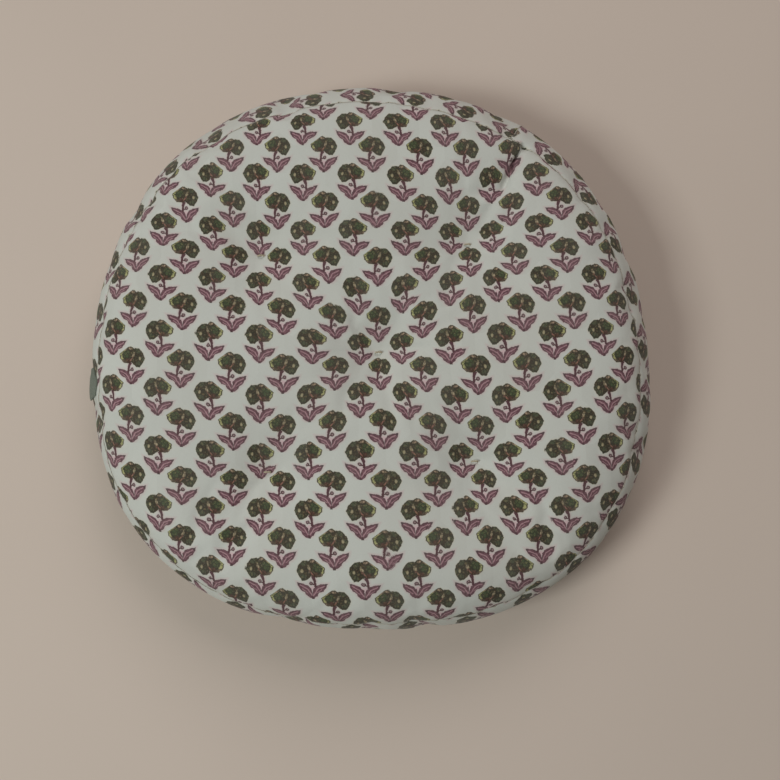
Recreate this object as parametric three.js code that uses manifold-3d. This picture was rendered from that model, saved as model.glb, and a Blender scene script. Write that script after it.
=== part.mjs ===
// Round tufted floor cushion: a boxed cotton cover over layered filling, tied through by five twines.
// Millimetres, +Z up. It lies on z = 0, with the origin at the bottom centre of its box.

import * as THREE from 'three';
import { mergeVertices } from 'three/addons/utils/BufferGeometryUtils.js';
import Module from 'manifold-3d';

const wasm = await Module();
wasm.setup();

// ---- Driving dimensions ----

const MEAN_RADIUS = 251.3;
const FRONT_FULLNESS = 2.8; // the filling sits a little towards the front
const OVAL = 1.9; // wider across X than along Y
const SKEW = 1.7; // fuller at the front right and the back left
const THREE_SIDEDNESS = 2.9;
const SQUARENESS = 3.9; // full on the diagonals
const CROWN_Z = 92; // highest level of the top panel
const WIDEST_Z = 44; // level at which the side bulges furthest
const CROWN_POWER = 12; // how late the top rolls over into the side
const FLAT_SHARE = 0.8; // share of the radius on which the underside lies flat
const INSET_POWER = 8; // inner layers shrink sideways only towards the edge

const TOP_SEAM_Z = 78;
const BOTTOM_SEAM_Z = 25;
const SEAM_TILT = 9; // the cover has rolled towards the front, so the band sits this much higher behind
const SEAM_TILT_ANGLE = degrees(80);

const TUFT_SQUARE = 182; // side of the square of the four outer tufts
const TUFT_DEPTH = 9;
const TUFT_REACH = 50; // radius of the hollow round a tuft
const MISS_REACH = 85; // how far round a tuft the cloth is drawn along when it is tied off its mark
const UNDER_TUFT_DEPTH = 8;
const UNDER_TUFT_REACH = 40;

const COVER_THICKNESS = 1;
const CLEARANCE = 0.5; // between one layer and the next
const WADDING_THICKNESS = 12;
const SEAM_GAP = 0.2; // each side of a seam, between cover pieces
const WADDING_SEAM_GAP = 2.5;

const TWINE_RADIUS = 0.8;
const TWINE_SPREAD = 2.5; // from a tuft's middle to each of its two strands
const TWINE_HOLE_RADIUS = 1.25;
const STITCH_LIFT = 1.8; // the stitch on top stands this far off the cover
const KNOT_RADIUS = 2.6;
const THREAD_RADIUS = 0.6;
const THREAD_INSET = 3.2;

const JOIN_ANGLE = degrees(56.25); // where the band's two ends are sewn together, on a spoke
const CLOSING_START = degrees(230); // hand-closed stretch of the bottom seam
const CLOSING_END = degrees(280);

const LABEL_ANGLE = degrees(187.5);
const LABEL_WIDTH = 26;
const LABEL_BELOW_SEAM = 6;
const LABEL_DROP = 20;
const LABEL_THICKNESS = 0.8;

const SECTORS = 32; // a multiple of 8, so that the outer tufts fall on a spoke
const MEAN_SEAM_SHARE = 0.95;
const PANEL_RINGS = [0, 0.17, 0.32, 0.43, 0.54, 0.65, 0.77, 0.89, 0.97, 1]; // one passes the tufts
const BAND_RINGS = [0, 0.06, 0.2, 0.35, 0.5, 0.65, 0.8, 0.94, 1];

// ---- Materials ----

const cotton = new THREE.MeshStandardMaterial({ color: 0xb2b6ae, roughness: 0.92, metalness: 0 });
const wadding = new THREE.MeshStandardMaterial({ color: 0xe6e3da, roughness: 1, metalness: 0 });
const feltedCore = new THREE.MeshStandardMaterial({ color: 0xcfc8b8, roughness: 1, metalness: 0 });
const thread = new THREE.MeshStandardMaterial({ color: 0xd8d2c2, roughness: 0.8, metalness: 0 });
const twineCotton = new THREE.MeshStandardMaterial({ color: 0xcdc2a6, roughness: 0.85, metalness: 0 });
const labelTape = new THREE.MeshStandardMaterial({ color: 0x7c8377, roughness: 0.8, metalness: 0 });

// ---- Shape of the cushion ----

function degrees(value) {
  return THREE.MathUtils.degToRad(value);
}

// Hand-made, so the outline is a circle with slow waves on it.
function outlineRadius(angle) {
  return (
    MEAN_RADIUS -
    FRONT_FULLNESS * Math.sin(angle) +
    OVAL * Math.cos(2 * angle) -
    SKEW * Math.sin(2 * angle) -
    THREE_SIDEDNESS * Math.sin(3 * angle) -
    SQUARENESS * Math.cos(4 * angle)
  );
}

// Each tuft's mark on the square, and how far off the mark it was tied by hand.
const half = TUFT_SQUARE / 2;
const tufts = [
  { name: 'centre', mark: [0, 0], miss: [7, -8] },
  { name: 'back_left', mark: [-half, half], miss: [-4, -14] },
  { name: 'back_right', mark: [half, half], miss: [-7, -4] },
  { name: 'front_left', mark: [-half, -half], miss: [5, -19] },
  { name: 'front_right', mark: [half, -half], miss: [-3, -10] },
].map((tuft) => ({ ...tuft, x: tuft.mark[0] + tuft.miss[0], y: tuft.mark[1] + tuft.miss[1] }));

// Depth of the hollows that the tufts pull into a face, at (x, y).
function tuftHollow(x, y, depth, reach) {
  let pull = 0;
  for (const tuft of tufts) {
    const distance = Math.hypot(x - tuft.x, y - tuft.y) / reach;
    if (distance < 1) pull += depth * (0.5 + 0.5 * Math.cos(Math.PI * distance)) ** 1.5;
  }
  return pull;
}

// Height of the upper side, as a share of its rise above the widest level, at a share of the radius.
function crownRise(share) {
  return Math.sqrt(Math.max(0, 1 - share ** CROWN_POWER));
}

function shareAtRise(rise) {
  return (1 - rise ** 2) ** (1 / CROWN_POWER);
}

// The underside is flat, then turns up to the widest level in a quarter ellipse.
function underDrop(share) {
  const turn = Math.max(0, (share - FLAT_SHARE) / (1 - FLAT_SHARE));
  return Math.sqrt(Math.max(0, 1 - turn ** 2));
}

function shareAtDrop(drop) {
  return FLAT_SHARE + (1 - FLAT_SHARE) * Math.sqrt(1 - drop ** 2);
}

// A point of the upper or lower side. Inset counts inwards from the outside of the cover.
// Inner rings are true circles. They are drawn sideways with the tufts, so that a vertex stays at each tuft.
function sidePoint(angle, share, inset, z) {
  const outline = MEAN_RADIUS + (outlineRadius(angle) - MEAN_RADIUS) * share ** 3;
  const radius = share * outline - inset * share ** INSET_POWER;
  const x = radius * Math.cos(angle);
  const y = radius * Math.sin(angle);
  const point = new THREE.Vector3(x, y, z);
  for (const tuft of tufts) {
    const distance = Math.hypot(x - tuft.mark[0], y - tuft.mark[1]) / MISS_REACH;
    if (distance < 1) {
      const pull = 0.5 + 0.5 * Math.cos(Math.PI * distance);
      point.x += tuft.miss[0] * pull;
      point.y += tuft.miss[1] * pull;
    }
  }
  return point;
}

function upperPoint(angle, share, inset) {
  const point = sidePoint(angle, share, inset, WIDEST_Z + (CROWN_Z - inset - WIDEST_Z) * crownRise(share));
  point.z -= tuftHollow(point.x, point.y, TUFT_DEPTH, TUFT_REACH);
  return point;
}

function lowerPoint(angle, share, inset) {
  const point = sidePoint(angle, share, inset, WIDEST_Z - (WIDEST_Z - inset) * underDrop(share));
  point.z += tuftHollow(point.x, point.y, UNDER_TUFT_DEPTH, UNDER_TUFT_REACH);
  return point;
}

// The offset is a length up the slope of the crown, which is nearly level where the seam is high.
function topSeamRise(angle, offset) {
  const climb = CROWN_Z - WIDEST_Z;
  const rise = (TOP_SEAM_Z + SEAM_TILT * Math.cos(angle - SEAM_TILT_ANGLE) - WIDEST_Z) / climb;
  const inwards = (2 * MEAN_RADIUS * rise * shareAtRise(rise)) / (CROWN_POWER * climb * (1 - rise ** 2));
  return rise + offset / (climb * Math.hypot(1, inwards));
}

function bottomSeamDrop(angle, offset) {
  const z = BOTTOM_SEAM_Z + SEAM_TILT * Math.cos(angle - SEAM_TILT_ANGLE) + offset;
  return (WIDEST_Z - z) / WIDEST_Z;
}

// Panel points run from the middle (0) to the seam (1). Only the last ring keeps the gap to the seam,
// so that the rings of all layers lie under each other. The inner rings are even, and the outer ones
// follow the seam.
function panelShare(along, seamShare) {
  return MEAN_SEAM_SHARE * along + (seamShare - MEAN_SEAM_SHARE) * along ** 4;
}

function topPanelPoint(angle, along, inset, seamGap) {
  const gap = along < 1 ? 0 : seamGap;
  return upperPoint(angle, panelShare(along, shareAtRise(topSeamRise(angle, gap))), inset);
}

function bottomPanelPoint(angle, along, inset, seamGap) {
  const gap = along < 1 ? 0 : seamGap;
  return lowerPoint(angle, panelShare(along, shareAtDrop(bottomSeamDrop(angle, -gap))), inset);
}

// Along the band from its top seam (0) through the widest level (0.5) to its bottom seam (1).
function bandPoint(angle, along, inset, seamGap) {
  const gap = along > 0 && along < 1 ? 0 : seamGap;
  if (along < 0.5) {
    const rise = topSeamRise(angle, -gap) * (1 - 2 * along);
    return upperPoint(angle, shareAtRise(rise), inset);
  }
  const drop = bottomSeamDrop(angle, gap) * (2 * along - 1);
  return lowerPoint(angle, shareAtDrop(drop), inset);
}

// ---- Mesh building ----

function meshFromTriangles(points, triangles) {
  const raw = new THREE.BufferGeometry();
  raw.setAttribute('position', new THREE.Float32BufferAttribute(points.flatMap((p) => [p.x, p.y, p.z]), 3));
  raw.setIndex(triangles.flat());
  const merged = mergeVertices(raw, 1e-4);
  const index = merged.index.array;
  const kept = [];
  for (let i = 0; i < index.length; i += 3) {
    const [a, b, c] = [index[i], index[i + 1], index[i + 2]];
    if (a !== b && b !== c && c !== a) kept.push(a, b, c);
  }
  merged.setIndex(kept);
  return merged;
}

// A closed layer between a front and a back sheet, each a function of (angle, along). Seen from the
// front, angles run anticlockwise and along runs outwards, or down on the band.
// A full ring closes round on itself; otherwise its two ends are walled.
function layer(front, back, angles, alongs, fullRing) {
  const rows = alongs.length;
  const points = [];
  for (const sheet of [front, back]) {
    for (const angle of angles) {
      for (const along of alongs) points.push(sheet(angle, along));
    }
  }
  const backStart = angles.length * rows;
  const at = (column, row) => (column % angles.length) * rows + row;
  const triangles = [];
  const quad = (a, b, c, d) => triangles.push([a, b, c], [a, c, d]);
  const columns = fullRing ? angles.length : angles.length - 1;
  for (let i = 0; i < columns; i += 1) {
    for (let j = 0; j < rows - 1; j += 1) {
      const [a, b, c, d] = [at(i, j), at(i, j + 1), at(i + 1, j + 1), at(i + 1, j)];
      quad(a, b, c, d);
      quad(backStart + a, backStart + d, backStart + c, backStart + b);
    }
    quad(at(i, 0), at(i + 1, 0), backStart + at(i + 1, 0), backStart + at(i, 0));
    const last = rows - 1;
    quad(at(i + 1, last), at(i, last), backStart + at(i, last), backStart + at(i + 1, last));
  }
  if (!fullRing) {
    const end = angles.length - 1;
    for (let j = 0; j < rows - 1; j += 1) {
      quad(at(0, j + 1), at(0, j), backStart + at(0, j), backStart + at(0, j + 1));
      quad(at(end, j), at(end, j + 1), backStart + at(end, j + 1), backStart + at(end, j));
    }
  }
  return meshFromTriangles(points, triangles);
}

function solidOf(geometry) {
  const bare = geometry.clone();
  bare.deleteAttribute('normal');
  bare.deleteAttribute('uv');
  const merged = mergeVertices(bare, 1e-4);
  return new wasm.Manifold(
    new wasm.Mesh({
      numProp: 3,
      vertProperties: new Float32Array(merged.attributes.position.array),
      triVerts: new Uint32Array(merged.index.array),
    }),
  );
}

function geometryOf(solid) {
  const mesh = solid.getMesh();
  const geometry = new THREE.BufferGeometry();
  geometry.setAttribute('position', new THREE.Float32BufferAttribute(mesh.vertProperties, 3));
  geometry.setIndex(Array.from(mesh.triVerts));
  return geometry;
}

function evenly(from, to, steps) {
  return Array.from({ length: steps + 1 }, (_, i) => from + ((to - from) * i) / steps);
}

const ringAngles = evenly(0, 2 * Math.PI, SECTORS).slice(0, SECTORS);

// Angles all the way round from the band's join, which stays open by a small angle on each side.
function anglesFromJoin(openAngle) {
  const angles = evenly(JOIN_ANGLE, JOIN_ANGLE + 2 * Math.PI, SECTORS);
  angles[0] += openAngle;
  angles[SECTORS] -= openAngle;
  return angles;
}

function tubeAlong(points, radius, sides, steps) {
  const outline = new THREE.Shape();
  for (let i = 0; i < sides; i += 1) {
    const angle = (2 * Math.PI * i) / sides;
    const corner = [radius * Math.cos(angle), radius * Math.sin(angle)];
    if (i === 0) outline.moveTo(...corner);
    else outline.lineTo(...corner);
  }
  const path = new THREE.CatmullRomCurve3(points);
  const tube = new THREE.ExtrudeGeometry(outline, { steps, extrudePath: path, bevelEnabled: false });
  tube.deleteAttribute('normal');
  tube.deleteAttribute('uv');
  return mergeVertices(tube, 1e-4);
}

const cushion = new THREE.Group();

function add(name, geometry, material) {
  const mesh = new THREE.Mesh(geometry, material);
  mesh.name = name;
  cushion.add(mesh);
}

// Takes a straight hole, round or oval, out of a layer at each tuft.
function pierced(geometry, holesOfTuft) {
  let solid = solidOf(geometry);
  for (const tuft of tufts) {
    for (const hole of holesOfTuft) {
      const drill = new THREE.CylinderGeometry(1, 1, 2 * CROWN_Z, hole.sides);
      drill.rotateX(Math.PI / 2);
      drill.scale(hole.x, hole.y, 1);
      drill.translate(tuft.x + hole.at, tuft.y, CROWN_Z / 2);
      solid = solid.subtract(solidOf(drill));
    }
  }
  return geometryOf(solid);
}

const stitchHoles = [-TWINE_SPREAD, TWINE_SPREAD].map((at) => ({
  at,
  x: TWINE_HOLE_RADIUS,
  y: TWINE_HOLE_RADIUS,
  sides: 8,
}));
const fillingHoles = [{ at: 0, x: TWINE_SPREAD + 2.5, y: 2.4, sides: 12 }];

// ---- Cover ----

function layerBetween(pointOf, frontInset, backInset, seamGap, angles, alongs, fullRing) {
  return layer(
    (angle, along) => pointOf(angle, along, frontInset, seamGap),
    (angle, along) => pointOf(angle, along, backInset, seamGap),
    angles,
    alongs,
    fullRing,
  );
}

const topPanel = layerBetween(topPanelPoint, 0, COVER_THICKNESS, SEAM_GAP, ringAngles, PANEL_RINGS, true);
add('top_panel', pierced(topPanel, stitchHoles), cotton);

// On the underside the inner sheet is the upper one, so the two insets change places.
const bottomPanel = layerBetween(
  bottomPanelPoint, COVER_THICKNESS, 0, SEAM_GAP, ringAngles, PANEL_RINGS, true,
);
add('bottom_panel', pierced(bottomPanel, stitchHoles), cotton);

const bandJoinGap = SEAM_GAP / MEAN_RADIUS;
add(
  'side_band',
  layerBetween(bandPoint, 0, COVER_THICKNESS, SEAM_GAP, anglesFromJoin(bandJoinGap), BAND_RINGS, false),
  cotton,
);

// ---- Filling ----

const waddingOut = COVER_THICKNESS + CLEARANCE;
const waddingIn = waddingOut + WADDING_THICKNESS;
const coreOut = waddingIn + CLEARANCE;

const waddingTop = layerBetween(
  topPanelPoint, waddingOut, waddingIn, WADDING_SEAM_GAP, ringAngles, PANEL_RINGS, true,
);
add('wadding_top', pierced(waddingTop, fillingHoles), wadding);

const waddingBottom = layerBetween(
  bottomPanelPoint, waddingIn, waddingOut, WADDING_SEAM_GAP, ringAngles, PANEL_RINGS, true,
);
add('wadding_bottom', pierced(waddingBottom, fillingHoles), wadding);

const waddingJoinGap = WADDING_SEAM_GAP / MEAN_RADIUS;
add(
  'wadding_side',
  layerBetween(
    bandPoint, waddingOut, waddingIn, WADDING_SEAM_GAP, anglesFromJoin(waddingJoinGap), BAND_RINGS, false,
  ),
  wadding,
);

// Each half of the core runs under a panel (0 to 1) and then under half of the band (1 to 1.5).
const coreRings = [...PANEL_RINGS, ...BAND_RINGS.filter((along) => along > 0 && along <= 0.5).map((a) => 1 + a)];
const core = layer(
  (angle, along) =>
    along <= 1 ? topPanelPoint(angle, along, coreOut, 0) : bandPoint(angle, along - 1, coreOut, 0),
  (angle, along) =>
    along <= 1 ? bottomPanelPoint(angle, along, coreOut, 0) : bandPoint(angle, 2 - along, coreOut, 0),
  ringAngles,
  coreRings,
  true,
);
add('core_pad', pierced(core, fillingHoles), feltedCore);

// ---- Sewing threads, just inside the seams ----

function seamThread(along, from, to, steps) {
  const points = evenly(from, to, steps).map((angle) => bandPoint(angle, along, THREAD_INSET, 0));
  return tubeAlong(points, THREAD_RADIUS, 6, steps);
}

const threadEnd = degrees(0.5);
add(
  'top_seam_thread',
  seamThread(0, JOIN_ANGLE + threadEnd, JOIN_ANGLE + 2 * Math.PI - threadEnd, SECTORS),
  thread,
);
add(
  'bottom_seam_thread',
  seamThread(1, CLOSING_END, CLOSING_START + 2 * Math.PI, SECTORS),
  thread,
);
add('closing_stitch_thread', seamThread(1, CLOSING_START + threadEnd, CLOSING_END - threadEnd, 8), thread);

const joinPoints = evenly(0.08, 0.92, 6).map((along) => bandPoint(JOIN_ANGLE, along, THREAD_INSET, 0));
add('band_join_thread', tubeAlong(joinPoints, THREAD_RADIUS, 6, 10), thread);

// ---- Tufting twines: one loop down through everything, knotted underneath ----

function rod(length, radius, sides) {
  return new THREE.CylinderGeometry(radius, radius, length, sides);
}

const stitchZ = CROWN_Z - TUFT_DEPTH + TWINE_RADIUS + STITCH_LIFT;
const knotZ = UNDER_TUFT_DEPTH - KNOT_RADIUS - CLEARANCE;

for (const tuft of tufts) {
  const strands = [-TWINE_SPREAD, TWINE_SPREAD].map((at) =>
    rod(stitchZ - knotZ, TWINE_RADIUS, 8)
      .rotateX(Math.PI / 2)
      .translate(tuft.x + at, tuft.y, (stitchZ + knotZ) / 2),
  );
  const stitch = rod(2 * (TWINE_SPREAD + TWINE_RADIUS), TWINE_RADIUS, 8)
    .rotateZ(Math.PI / 2)
    .translate(tuft.x, tuft.y, stitchZ);
  const knot = new THREE.SphereGeometry(KNOT_RADIUS, 8, 5).scale(1.7, 1, 0.8).translate(tuft.x, tuft.y, knotZ);
  const loop = [...strands, stitch, knot].map(solidOf).reduce((whole, piece) => whole.add(piece));
  add(`tuft_twine_${tuft.name}`, geometryOf(loop), twineCotton);
}

// ---- Side label: a blank tape sewn on the band, a little below the top seam ----

const labelHalfAngle = LABEL_WIDTH / 2 / MEAN_RADIUS;
const labelAngles = evenly(LABEL_ANGLE - labelHalfAngle, LABEL_ANGLE + labelHalfAngle, 4);
const labelPoint = (angle, along, inset) => {
  const rise = topSeamRise(angle, -LABEL_BELOW_SEAM) - (along * LABEL_DROP) / (CROWN_Z - WIDEST_Z);
  return upperPoint(angle, shareAtRise(rise), inset);
};
add(
  'side_label',
  layer(
    (angle, along) => labelPoint(angle, along, -CLEARANCE - LABEL_THICKNESS),
    (angle, along) => labelPoint(angle, along, -CLEARANCE),
    labelAngles,
    evenly(0, 1, 4),
    false,
  ),
  labelTape,
);

export default cushion;
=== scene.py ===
"""Round tufted floor cushion in block-printed cotton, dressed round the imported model. Metres, +Z up."""

import math

import bpy
import numpy as np
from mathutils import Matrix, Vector, noise
from mathutils.bvhtree import BVHTree
from mathutils.geometry import delaunay_2d_cdt


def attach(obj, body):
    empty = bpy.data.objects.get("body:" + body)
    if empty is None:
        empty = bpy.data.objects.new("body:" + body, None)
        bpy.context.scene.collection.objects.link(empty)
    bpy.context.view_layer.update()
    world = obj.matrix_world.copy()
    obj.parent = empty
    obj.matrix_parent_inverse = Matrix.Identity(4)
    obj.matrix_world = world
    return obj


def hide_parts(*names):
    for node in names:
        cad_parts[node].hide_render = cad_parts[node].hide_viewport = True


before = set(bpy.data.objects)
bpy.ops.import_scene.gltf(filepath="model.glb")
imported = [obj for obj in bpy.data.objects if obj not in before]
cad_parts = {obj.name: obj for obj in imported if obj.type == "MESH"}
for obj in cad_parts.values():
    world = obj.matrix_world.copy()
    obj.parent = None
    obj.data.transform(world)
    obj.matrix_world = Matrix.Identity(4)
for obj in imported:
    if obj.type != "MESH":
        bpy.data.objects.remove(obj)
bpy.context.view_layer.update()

MM = 0.001

# ---- Driving dimensions, the model's own ----

MEAN_RADIUS = 251.3 * MM
FRONT_FULLNESS = 2.8 * MM
OVAL = 1.9 * MM
SKEW = 1.7 * MM
THREE_SIDEDNESS = 2.9 * MM
SQUARENESS = 3.9 * MM
CROWN_Z = 92 * MM
WIDEST_Z = 44 * MM
CROWN_POWER = 12
FLAT_SHARE = 0.8
INSET_POWER = 8
TOP_SEAM_Z = 78 * MM
BOTTOM_SEAM_Z = 25 * MM
SEAM_TILT = 9 * MM
SEAM_TILT_ANGLE = math.radians(80)
JOIN_ANGLE = math.radians(56.25)
CLOSING_START = math.radians(230)
CLOSING_END = math.radians(280)

TUFTS = {
    "centre": (7 * MM, -8 * MM),
    "back_left": (-95 * MM, 77 * MM),
    "back_right": (84 * MM, 87 * MM),
    "front_left": (-86 * MM, -110 * MM),
    "front_right": (88 * MM, -101 * MM),
}
TUFT_DEPTH = 9 * MM
TUFT_REACH = 50 * MM
UNDER_TUFT_DEPTH = 8 * MM
UNDER_TUFT_REACH = 40 * MM
HOLLOW_POWER = 1.5  # the higher, the narrower the hollows
TWINE_SPREAD = 2.5 * MM
TWINE_RADIUS = 0.8 * MM
TWINE_STEP = 0.45 * MM  # from one ring of points to the next
TWINE_TWIST = 3 * MM  # its two plies go once round each other in this length
KNOT_Z = 5.9 * MM

LABEL_ANGLE = math.radians(187.5)
LABEL_WIDTH = 26 * MM
LABEL_BELOW_SEAM = 5 * MM
LABEL_DROP = 20 * MM
LABEL_ROWS = 13  # rows of points on each half of the folded tape
LABEL_COLUMNS = 15
LABEL_THICKNESS = 0.4 * MM

# ---- Dimensions of the sewn cloth ----

SEAM_POINTS = 264  # points of the net along each seam
NET = 5.9 * MM  # spacing of the net of points that stands for the cloth
NET_CLEAR = 0.6 * NET  # the net keeps this far from holes and from the points along a seam
NET_ROWS = 52  # rows of the net on each side of the middle
NEAR_SEAM = 2.4 * MM  # the ring of points next to a seam
BAND_STEPS = 10  # rows of points on the band, between its seams
CLOTH_THICKNESS = 0.5 * MM
SEAM_DIP = 0.8 * MM  # how deep the sewn edge turns in
START_INSET = 1 * MM  # the cover is this much smaller before it is filled
MOST_SWELL = 7 * MM
FILLING_STEPS = 20
FILLING = {
    "quality": 6,
    "mass": 0.1,
    "air_damping": 2,
    "tension_stiffness": 20,
    "compression_stiffness": 5,
    "shear_stiffness": 5,
    "bending_stiffness": 0.2,
    "use_pressure": True,
    "uniform_pressure_force": 4,
    "shrink_min": -0.012,
}
COVER_LUMPS = ((0.9 * MM, 0.045, 1), (0.35 * MM, 0.016, 2))  # height, size across and seed
PROFILE_STEPS = 160

WADDING_UNDER_COVER = 1.6 * MM
WADDING_INNER = 13.5 * MM  # inset of the wadding's inner face
CORE_INSET = 15 * MM

MACHINE_STITCH = 3.2 * MM  # from one stitch to the next
MACHINE_STITCH_LENGTH = 2.7 * MM
HAND_STITCH = 6.5 * MM
HAND_STITCH_LENGTH = 5.2 * MM
HAND_STITCH_LEAN = 38  # degrees
SEAM_FACES = 0.8  # up at the top seam and down at the bottom one, for 1 outwards
THREAD_RADIUS = 0.28 * MM

# Soft folds in the top: their points from end to end in millimetres, depth in millimetres, half width.
FOLDS = (
    (((84, 90), (82, 120), (80, 165), (76, 214)), 1.3, 3.5),
    (((92, 96), (99, 110), (117, 138), (128, 156)), 2.6, 4),
    (((7, -8), (-19, 2), (-46, 8)), 1.6, 4),
    (((7, -8), (28, -9), (50, -5)), 1.4, 4),
    (((7, -8), (-12, 14), (-20, 34)), 1.2, 4),
    (((-110, 76), (-95, 77), (-70, 75), (-46, 76)), 1.4, 4),
    (((-106, -111), (-86, -110), (-76, -110)), 1.2, 4),
    (((66, -105), (88, -101), (112, -105)), 1.4, 4),
    (((84, 87), (100, 78), (118, 74)), 1.4, 4),
)
# The deep tuck by the band's join: the cloth on its outer side is lapped over.
TUCK = ((114, 134), (126, 158), (137, 176), (147, 198), (156, 214))
TUCK_DEPTH = 9.0 * MM
TUCK_HALF_WIDTH = 2.3 * MM
TUCK_LAP = 3.2 * MM
TUCK_WAY = np.array([-0.88, 0.47, 0])  # across the tuck, from its right to its left
TUCK_ROWS = (-3.6, -1.5, 0, 1.5, 3.6)  # rows of points along it, in millimetres to its right
TUCK_ROW_STEP = 3 * MM
TUCK_CLEAR = 5.2 * MM  # the rest of the net starts this far from it
FOLD_LIP = 0.35  # height of the lips of a fold, for a depth of 1
FOLD_LIP_PLACE = 1.9  # where they are, for a half width of 1
PUCKERS = 7  # radial creases round each tuft
PUCKER_DEPTH = 0.7 * MM
PUCKER_REACH = 15 * MM

# ---- The print's repeat, in millimetres ----

REPEAT_X = 41.6
REPEAT_Y = 48.4
FIRST_HEAD = (8.2, 26.5)  # a flower head on the top panel, from its middle
OFF_GRAIN = 0.038  # the columns of flowers lean by this much
COLUMNS_SPREAD = 0.00014  # and lean more towards one side
ROWS_BOWED = 0.00022  # the rows curve up towards both sides
GATHER_REACH = 60
GATHERED = {"centre": 13, "back_left": 6.5, "back_right": 12, "front_left": 5.5, "front_right": 8}
BAND_HEAD_DROP = 11  # from the top seam to the first row of heads on the band

# ---- Shape of the cushion, as the model has it ----


def outline_radius(angle):
    return (
        MEAN_RADIUS
        - FRONT_FULLNESS * np.sin(angle)
        + OVAL * np.cos(2 * angle)
        - SKEW * np.sin(2 * angle)
        - THREE_SIDEDNESS * np.sin(3 * angle)
        - SQUARENESS * np.cos(4 * angle)
    )


def radius_at(angle, share, inset):
    waves = outline_radius(angle) - MEAN_RADIUS
    return share * (MEAN_RADIUS + waves * share**3) - inset * share**INSET_POWER


def upper_height(share, inset):
    return WIDEST_Z + (CROWN_Z - inset - WIDEST_Z) * np.sqrt(np.clip(1 - share**CROWN_POWER, 0, 1))


def lower_height(share, inset):
    turn = np.clip((share - FLAT_SHARE) / (1 - FLAT_SHARE), 0, 1)
    return WIDEST_Z - (WIDEST_Z - inset) * np.sqrt(1 - turn**2)


def seam_level(middle, angle):
    return middle + SEAM_TILT * np.cos(angle - SEAM_TILT_ANGLE)


def top_seam_share(angle, way_up=1):
    """Share of the radius at the top seam, or part of the way up to it from the widest place."""
    rise = (seam_level(TOP_SEAM_Z, angle) - WIDEST_Z) / (CROWN_Z - WIDEST_Z)
    return (1 - (rise * way_up) ** 2) ** (1 / CROWN_POWER)


def bottom_seam_share(angle, way_down=1):
    drop = (WIDEST_Z - seam_level(BOTTOM_SEAM_Z, angle)) / WIDEST_Z
    return FLAT_SHARE + (1 - FLAT_SHARE) * np.sqrt(1 - (drop * way_down) ** 2)


def tuft_hollow(x, y, depth, reach):
    pull = np.zeros_like(x)
    for tuft_x, tuft_y in TUFTS.values():
        away = np.clip(np.hypot(x - tuft_x, y - tuft_y) / reach, 0, 1)
        pull += depth * (0.5 + 0.5 * np.cos(np.pi * away)) ** HOLLOW_POWER
    return pull


class Side:
    """The upper or the lower face, from its middle out to its seam, as lengths along the cloth."""

    def __init__(self, height, seam_share, upper):
        self.height = height
        self.seam_share = seam_share
        self.upper = upper

    def profiles(self, angles, inset):
        """Shares of the radius, and lengths along the cloth, on the way out at each angle."""
        steps = 1 - (1 - np.linspace(0, 1, PROFILE_STEPS)) ** 2
        shares = self.seam_share(angles)[:, None] * steps
        radii = radius_at(angles[:, None], shares, inset)
        heights = self.height(shares, inset)
        lengths = np.hypot(np.diff(radii, axis=1), np.diff(heights, axis=1)).cumsum(axis=1)
        return shares, np.hstack([np.zeros((len(angles), 1)), lengths])

    def reach(self, angles):
        """Length of cloth from the middle to the seam."""
        return self.profiles(angles, 0)[1][:, -1]

    def place(self, flat, inset):
        """Where the points of the flat cut lie on the cushion."""
        angles = np.arctan2(flat[:, 1], flat[:, 0])
        shares, lengths = self.profiles(angles, inset)
        out = np.hypot(flat[:, 0], flat[:, 1]) * lengths[:, -1] / self.reach(angles)
        share = np.array([np.interp(o, l, s) for o, l, s in zip(out, lengths, shares)])
        radius = radius_at(angles, share, inset)
        x, y = radius * np.cos(angles), radius * np.sin(angles)
        z = self.height(share, inset)
        if self.upper:
            z = z - tuft_hollow(x, y, TUFT_DEPTH, TUFT_REACH)
        else:
            z = z + tuft_hollow(x, y, UNDER_TUFT_DEPTH, UNDER_TUFT_REACH)
        return np.stack([x, y, z], axis=1)


TOP = Side(upper_height, top_seam_share, True)
BOTTOM = Side(lower_height, bottom_seam_share, False)
SEAM_ANGLES = JOIN_ANGLE + 2 * np.pi * np.arange(SEAM_POINTS) / SEAM_POINTS


def on_circle(angles, reach):
    return np.stack([reach * np.cos(angles), reach * np.sin(angles)], axis=1)


def unit(ways):
    return ways / np.linalg.norm(ways, axis=-1, keepdims=True)


def headings(line):
    return unit(np.gradient(line, axis=0))


def lengths_along(line):
    """Length of a line from its start to each of its points."""
    return np.hstack([0, np.linalg.norm(np.diff(line, axis=0), axis=1).cumsum()])


def from_line(places, stops):
    """How far each place is from a line, how far along it (0 to 1), and on which side (1 is its right)."""
    stops = np.array(stops) * MM
    starts, steps = stops[:-1], np.diff(stops, axis=0)
    lengths = np.linalg.norm(steps, axis=1)
    before = np.hstack([0, lengths.cumsum()[:-1]])
    best, along, side = np.full(len(places), np.inf), np.zeros(len(places)), np.zeros(len(places))
    for start, step, length, done in zip(starts, steps, lengths, before):
        off = places[:, :2] - start
        t = np.clip((off @ step) / length**2, 0, 1)
        away = np.linalg.norm(off - t[:, None] * step, axis=1)
        nearer = away < best
        best[nearer] = away[nearer]
        along[nearer] = (done + t * length)[nearer]
        side[nearer] = np.sign(off[:, 0] * step[1] - off[:, 1] * step[0])[nearer]
    return best, along / lengths.sum(), side


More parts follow.
